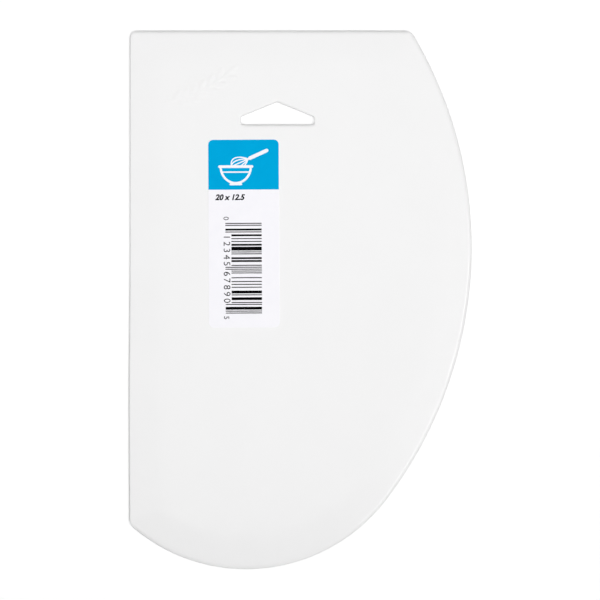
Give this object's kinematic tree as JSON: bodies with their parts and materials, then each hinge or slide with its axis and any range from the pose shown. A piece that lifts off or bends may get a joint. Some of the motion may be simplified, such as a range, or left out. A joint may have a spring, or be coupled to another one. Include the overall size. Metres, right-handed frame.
{
  "type": "bowl scraper",
  "caption": "Flat flexible plastic scraper with one straight edge, one bow-shaped edge, a thinned rim and a roof-shaped hang hole, with a printed paper label on its face.",
  "frame": {"origin": "on the flat back, under the middle of the blade's box", "axes": "+Z out of the face that carries the label; +Y along the length, towards the top edge and the hang hole; +X from the straight edge towards the curved edge"},
  "size_m": [0.1254, 0.197, 0.0021],
  "materials": {
    "blade_plastic": "satin",
    "label_paper": "satin"
  },
  "bodies": {
    "root": {"blade": "blade_plastic", "label": "label_paper"}
  },
  "joints": []
}
